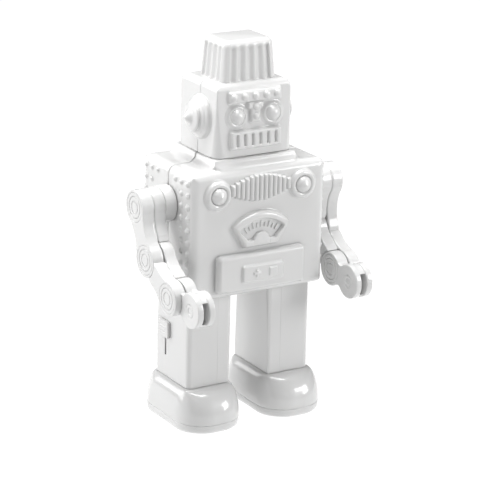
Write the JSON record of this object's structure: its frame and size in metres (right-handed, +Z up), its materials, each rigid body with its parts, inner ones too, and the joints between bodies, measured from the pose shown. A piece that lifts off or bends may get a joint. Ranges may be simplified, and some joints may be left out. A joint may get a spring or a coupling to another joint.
{
  "type": "humanoid robot kit",
  "caption": "White glazed toy-style humanoid robot: boxed body, fluted crown, jointed lobed arms, striding legs and round shoes.",
  "frame": {"origin": "on the standing surface, under the middle of the whole envelope, arms included", "axes": "+Z up; the figure faces -Y; its own left hand is towards +X"},
  "size_m": [0.1758, 0.1312, 0.2965],
  "materials": {
    "white_glaze": "thick glossy white, like glaze, with softened edges",
    "steel": "zinc-plated steel",
    "brass": "plain machined brass",
    "dark_plastic": "black moulded acetal"
  },
  "bodies": {
    "torso": {"front_shell": "white_glaze", "rear_shell": "white_glaze", "case_screws": "steel", "chest_grille": "white_glaze", "button_bezels": "white_glaze", "button_spring": "steel", "gauge_bezel": "white_glaze", "gauge_dial": "white_glaze", "cover_pin": "steel", "battery_box": "white_glaze", "battery_cells": "dark_plastic", "battery_contacts": "brass", "hip_frame": "steel", "hip_axle": "steel", "neck_bush": "dark_plastic", "shoulder_bushes": "dark_plastic"},
    "cover": {"battery_cover": "white_glaze"},
    "button_right": {"chest_button_right": "white_glaze"},
    "button_left": {"chest_button_left": "white_glaze"},
    "head": {"face_shell": "white_glaze", "rear_head_shell": "white_glaze", "neck_spindle": "steel", "neck_nut": "brass", "brow_plate": "white_glaze", "nose_plate": "white_glaze", "eye_rims": "white_glaze", "eye_lenses": "white_glaze", "eye_lamps": "brass", "mouth_grille": "white_glaze", "ear_discs": "white_glaze", "ear_knobs": "white_glaze", "crown": "white_glaze"},
    "arm_upper_right": {"upper_arm_right": "white_glaze", "elbow_rivet_right": "white_glaze", "shoulder_hub_right": "white_glaze", "shoulder_bolt_right": "white_glaze", "shoulder_nut_right": "brass"},
    "arm_fore_right": {"forearm_right": "white_glaze", "wrist_rivet_right": "white_glaze"},
    "arm_hand_right": {"hand_right": "white_glaze", "hand_caps_right": "white_glaze"},
    "leg_right": {"leg_shell_right": "white_glaze", "leg_cover_right": "white_glaze", "shoe_right": "white_glaze", "sole_right": "white_glaze"},
    "arm_upper_left": {"upper_arm_left": "white_glaze", "elbow_rivet_left": "white_glaze", "shoulder_hub_left": "white_glaze", "shoulder_bolt_left": "white_glaze", "shoulder_nut_left": "brass"},
    "arm_fore_left": {"forearm_left": "white_glaze", "wrist_rivet_left": "white_glaze"},
    "arm_hand_left": {"hand_left": "white_glaze", "hand_caps_left": "white_glaze"},
    "leg_left": {"leg_shell_left": "white_glaze", "leg_cover_left": "white_glaze", "shoe_left": "white_glaze", "sole_left": "white_glaze"},
    "switch": {"power_switch": "white_glaze"}
  },
  "joints": [
    {"name": "head_turn", "type": "hinge", "parent": "torso", "child": "head", "pos_m": [0, 0.02702, 0.2035], "axis": [0, 0, 1], "range_deg": [-90, 90]},
    {"name": "shoulder_right", "type": "hinge", "parent": "torso", "child": "arm_upper_right", "pos_m": [-0.0685, 0.02302, 0.175], "axis": [-1, 0, 0], "range_deg": [-60, 150]},
    {"name": "elbow_right", "type": "hinge", "parent": "arm_upper_right", "child": "arm_fore_right", "pos_m": [-0.0782, 0.00675, 0.13846], "axis": [-1, 0, 0], "range_deg": [-36, 52]},
    {"name": "wrist_right", "type": "hinge", "parent": "arm_fore_right", "child": "arm_hand_right", "pos_m": [-0.0782, -0.02746, 0.11871], "axis": [-1, 0, 0], "range_deg": [-60, 60]},
    {"name": "hip_right", "type": "hinge", "parent": "torso", "child": "leg_right", "pos_m": [-0.035, 0.01802, 0.116], "axis": [-1, 0, 0], "range_deg": [-8, 8]},
    {"name": "shoulder_left", "type": "hinge", "parent": "torso", "child": "arm_upper_left", "pos_m": [0.0685, 0.02302, 0.175], "axis": [-1, 0, 0], "range_deg": [-60, 180]},
    {"name": "elbow_left", "type": "hinge", "parent": "arm_upper_left", "child": "arm_fore_left", "pos_m": [0.0782, 0.02651, 0.13515], "axis": [-1, 0, 0], "range_deg": [-58, 30]},
    {"name": "wrist_left", "type": "hinge", "parent": "arm_fore_left", "child": "arm_hand_left", "pos_m": [0.0782, -0.00504, 0.11138], "axis": [-1, 0, 0], "range_deg": [-60, 60]},
    {"name": "hip_left", "type": "hinge", "parent": "torso", "child": "leg_left", "pos_m": [0.035, 0.01802, 0.116], "axis": [-1, 0, 0], "range_deg": [-8, 8]},
    {"name": "cover_hinge", "type": "hinge", "parent": "torso", "child": "cover", "pos_m": [0, -0.01408, 0.1117], "axis": [1, 0, 0], "range_deg": [0, 90]},
    {"name": "button_press_right", "type": "slide", "parent": "torso", "child": "button_right", "axis": [0, 1, 0], "range_m": [0, 0.002], "stiffness_N_per_m": 300, "springref_m": -0.0005},
    {"name": "button_press_left", "type": "slide", "parent": "torso", "child": "button_left", "axis": [0, 1, 0], "range_m": [0, 0.002], "stiffness_N_per_m": 300, "springref_m": -0.0005},
    {"name": "switch_slide", "type": "slide", "parent": "leg_right", "child": "switch", "axis": [0, 0, -1], "range_m": [0, 0.018]}
  ]
}
